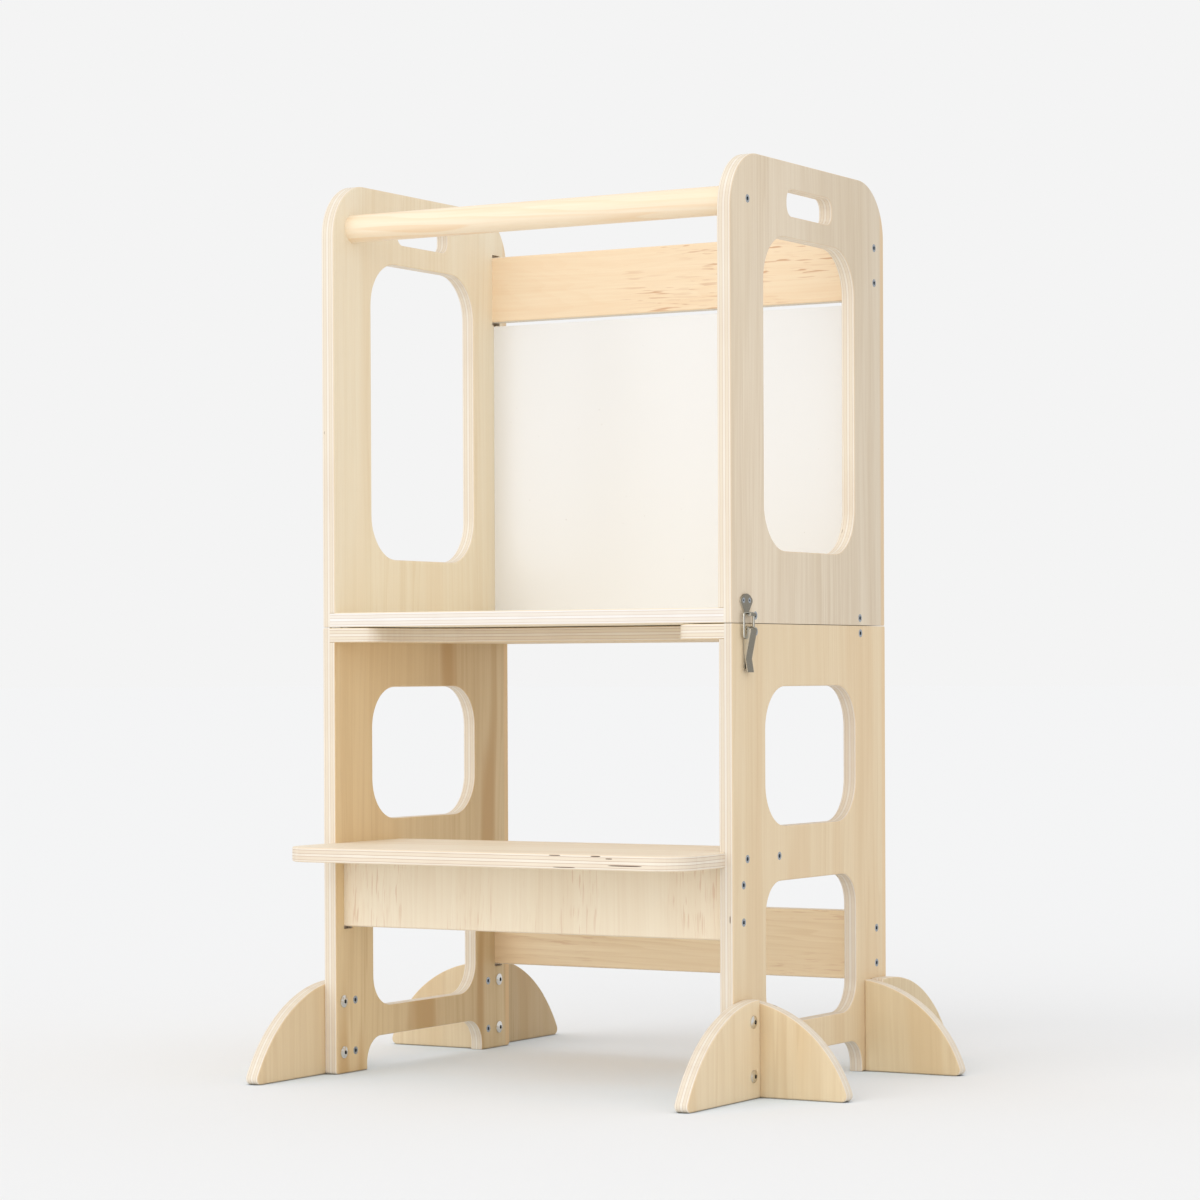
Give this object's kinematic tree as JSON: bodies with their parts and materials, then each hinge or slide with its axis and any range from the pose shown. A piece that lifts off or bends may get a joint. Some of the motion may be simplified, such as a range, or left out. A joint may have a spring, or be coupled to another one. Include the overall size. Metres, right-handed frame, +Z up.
{
  "type": "folding toddler kitchen helper tower and desk",
  "caption": "Birch plywood kitchen helper tower for a toddler with window sides, a step, a standing platform, a white board back and side latches; the upper half folds back to make a desk.",
  "frame": {"origin": "on the floor, in the middle of the frame and of its feet", "axes": "+X to the right side as seen from the step, +Y to the back with the white board, +Z up"},
  "size_m": [0.6786, 0.5744, 0.9],
  "materials": {
    "plywood": "clear matt lacquer on birch plywood, with its plies showing at the edges",
    "pine": "clear matt lacquer",
    "pine_dowel": "clear matt lacquer on a turned rod",
    "white_board": "white glossy writing surface",
    "zinc_steel": "bright zinc plating",
    "nickel_steel": "satin nickel plating"
  },
  "bodies": {
    "lower_frame": {"apron_screws": "zinc_steel", "fin_bolts": "zinc_steel", "fin_screws": "zinc_steel", "fin_sleeve_nuts": "zinc_steel", "front_left_cross_fin": "plywood", "front_left_side_fin": "plywood", "front_right_cross_fin": "plywood", "front_right_side_fin": "plywood", "hinge_lower_screws": "zinc_steel", "latch_base_screws": "zinc_steel", "left_hinge_lower_leaf": "zinc_steel", "left_hinge_pin": "zinc_steel", "left_latch_base": "nickel_steel", "left_latch_pin": "nickel_steel", "left_lower_side": "plywood", "lower_back_rail": "pine", "lower_back_rail_screws": "zinc_steel", "rear_left_cross_fin": "plywood", "rear_left_side_fin": "plywood", "rear_right_cross_fin": "plywood", "rear_right_side_fin": "plywood", "right_hinge_lower_leaf": "zinc_steel", "right_hinge_pin": "zinc_steel", "right_latch_base": "nickel_steel", "right_latch_pin": "nickel_steel", "right_lower_side": "plywood", "step_apron": "pine", "step_board": "plywood", "step_screws": "zinc_steel", "table_board": "plywood", "table_board_screws": "zinc_steel"},
    "upper_frame": {"front_rail": "pine_dowel", "front_rail_screws": "zinc_steel", "hinge_upper_screws": "zinc_steel", "latch_catch_screws": "zinc_steel", "left_hinge_upper_leaf": "zinc_steel", "left_latch_catch": "nickel_steel", "left_upper_side": "plywood", "platform_board": "plywood", "platform_screws": "zinc_steel", "right_hinge_upper_leaf": "zinc_steel", "right_latch_catch": "nickel_steel", "right_upper_side": "plywood", "upper_back_rail": "pine", "upper_back_rail_screws": "zinc_steel", "whiteboard": "white_board"},
    "right_latch_lever": {"right_latch_lever": "nickel_steel"},
    "right_latch_bail": {"right_latch_bail": "nickel_steel"},
    "left_latch_lever": {"left_latch_lever": "nickel_steel"},
    "left_latch_bail": {"left_latch_bail": "nickel_steel"}
  },
  "joints": [
    {"name": "fold", "type": "hinge", "parent": "lower_frame", "child": "upper_frame", "pos_m": [0, 0.1693, 0.4507], "axis": [-1, 0, 0], "range_deg": [0, 180]},
    {"name": "right_latch_open", "type": "hinge", "parent": "lower_frame", "child": "right_latch_lever", "pos_m": [0.2376, -0.138, 0.445], "axis": [0, -1, 0], "range_deg": [0, 100]},
    {"name": "right_bail_turn", "type": "hinge", "parent": "right_latch_lever", "child": "right_latch_bail", "pos_m": [0.2371, -0.138, 0.437], "axis": [0, -1, 0], "range_deg": [-80, 0]},
    {"name": "left_latch_open", "type": "hinge", "parent": "lower_frame", "child": "left_latch_lever", "pos_m": [-0.2376, -0.138, 0.445], "axis": [0, 1, 0], "range_deg": [0, 100]},
    {"name": "left_bail_turn", "type": "hinge", "parent": "left_latch_lever", "child": "left_latch_bail", "pos_m": [-0.2371, -0.138, 0.437], "axis": [0, 1, 0], "range_deg": [-80, 0]}
  ],
  "couplings": [
    {"joint": "right_bail_turn", "follows": "right_latch_open", "ratio": -0.8},
    {"joint": "left_bail_turn", "follows": "left_latch_open", "ratio": -0.8}
  ]
}
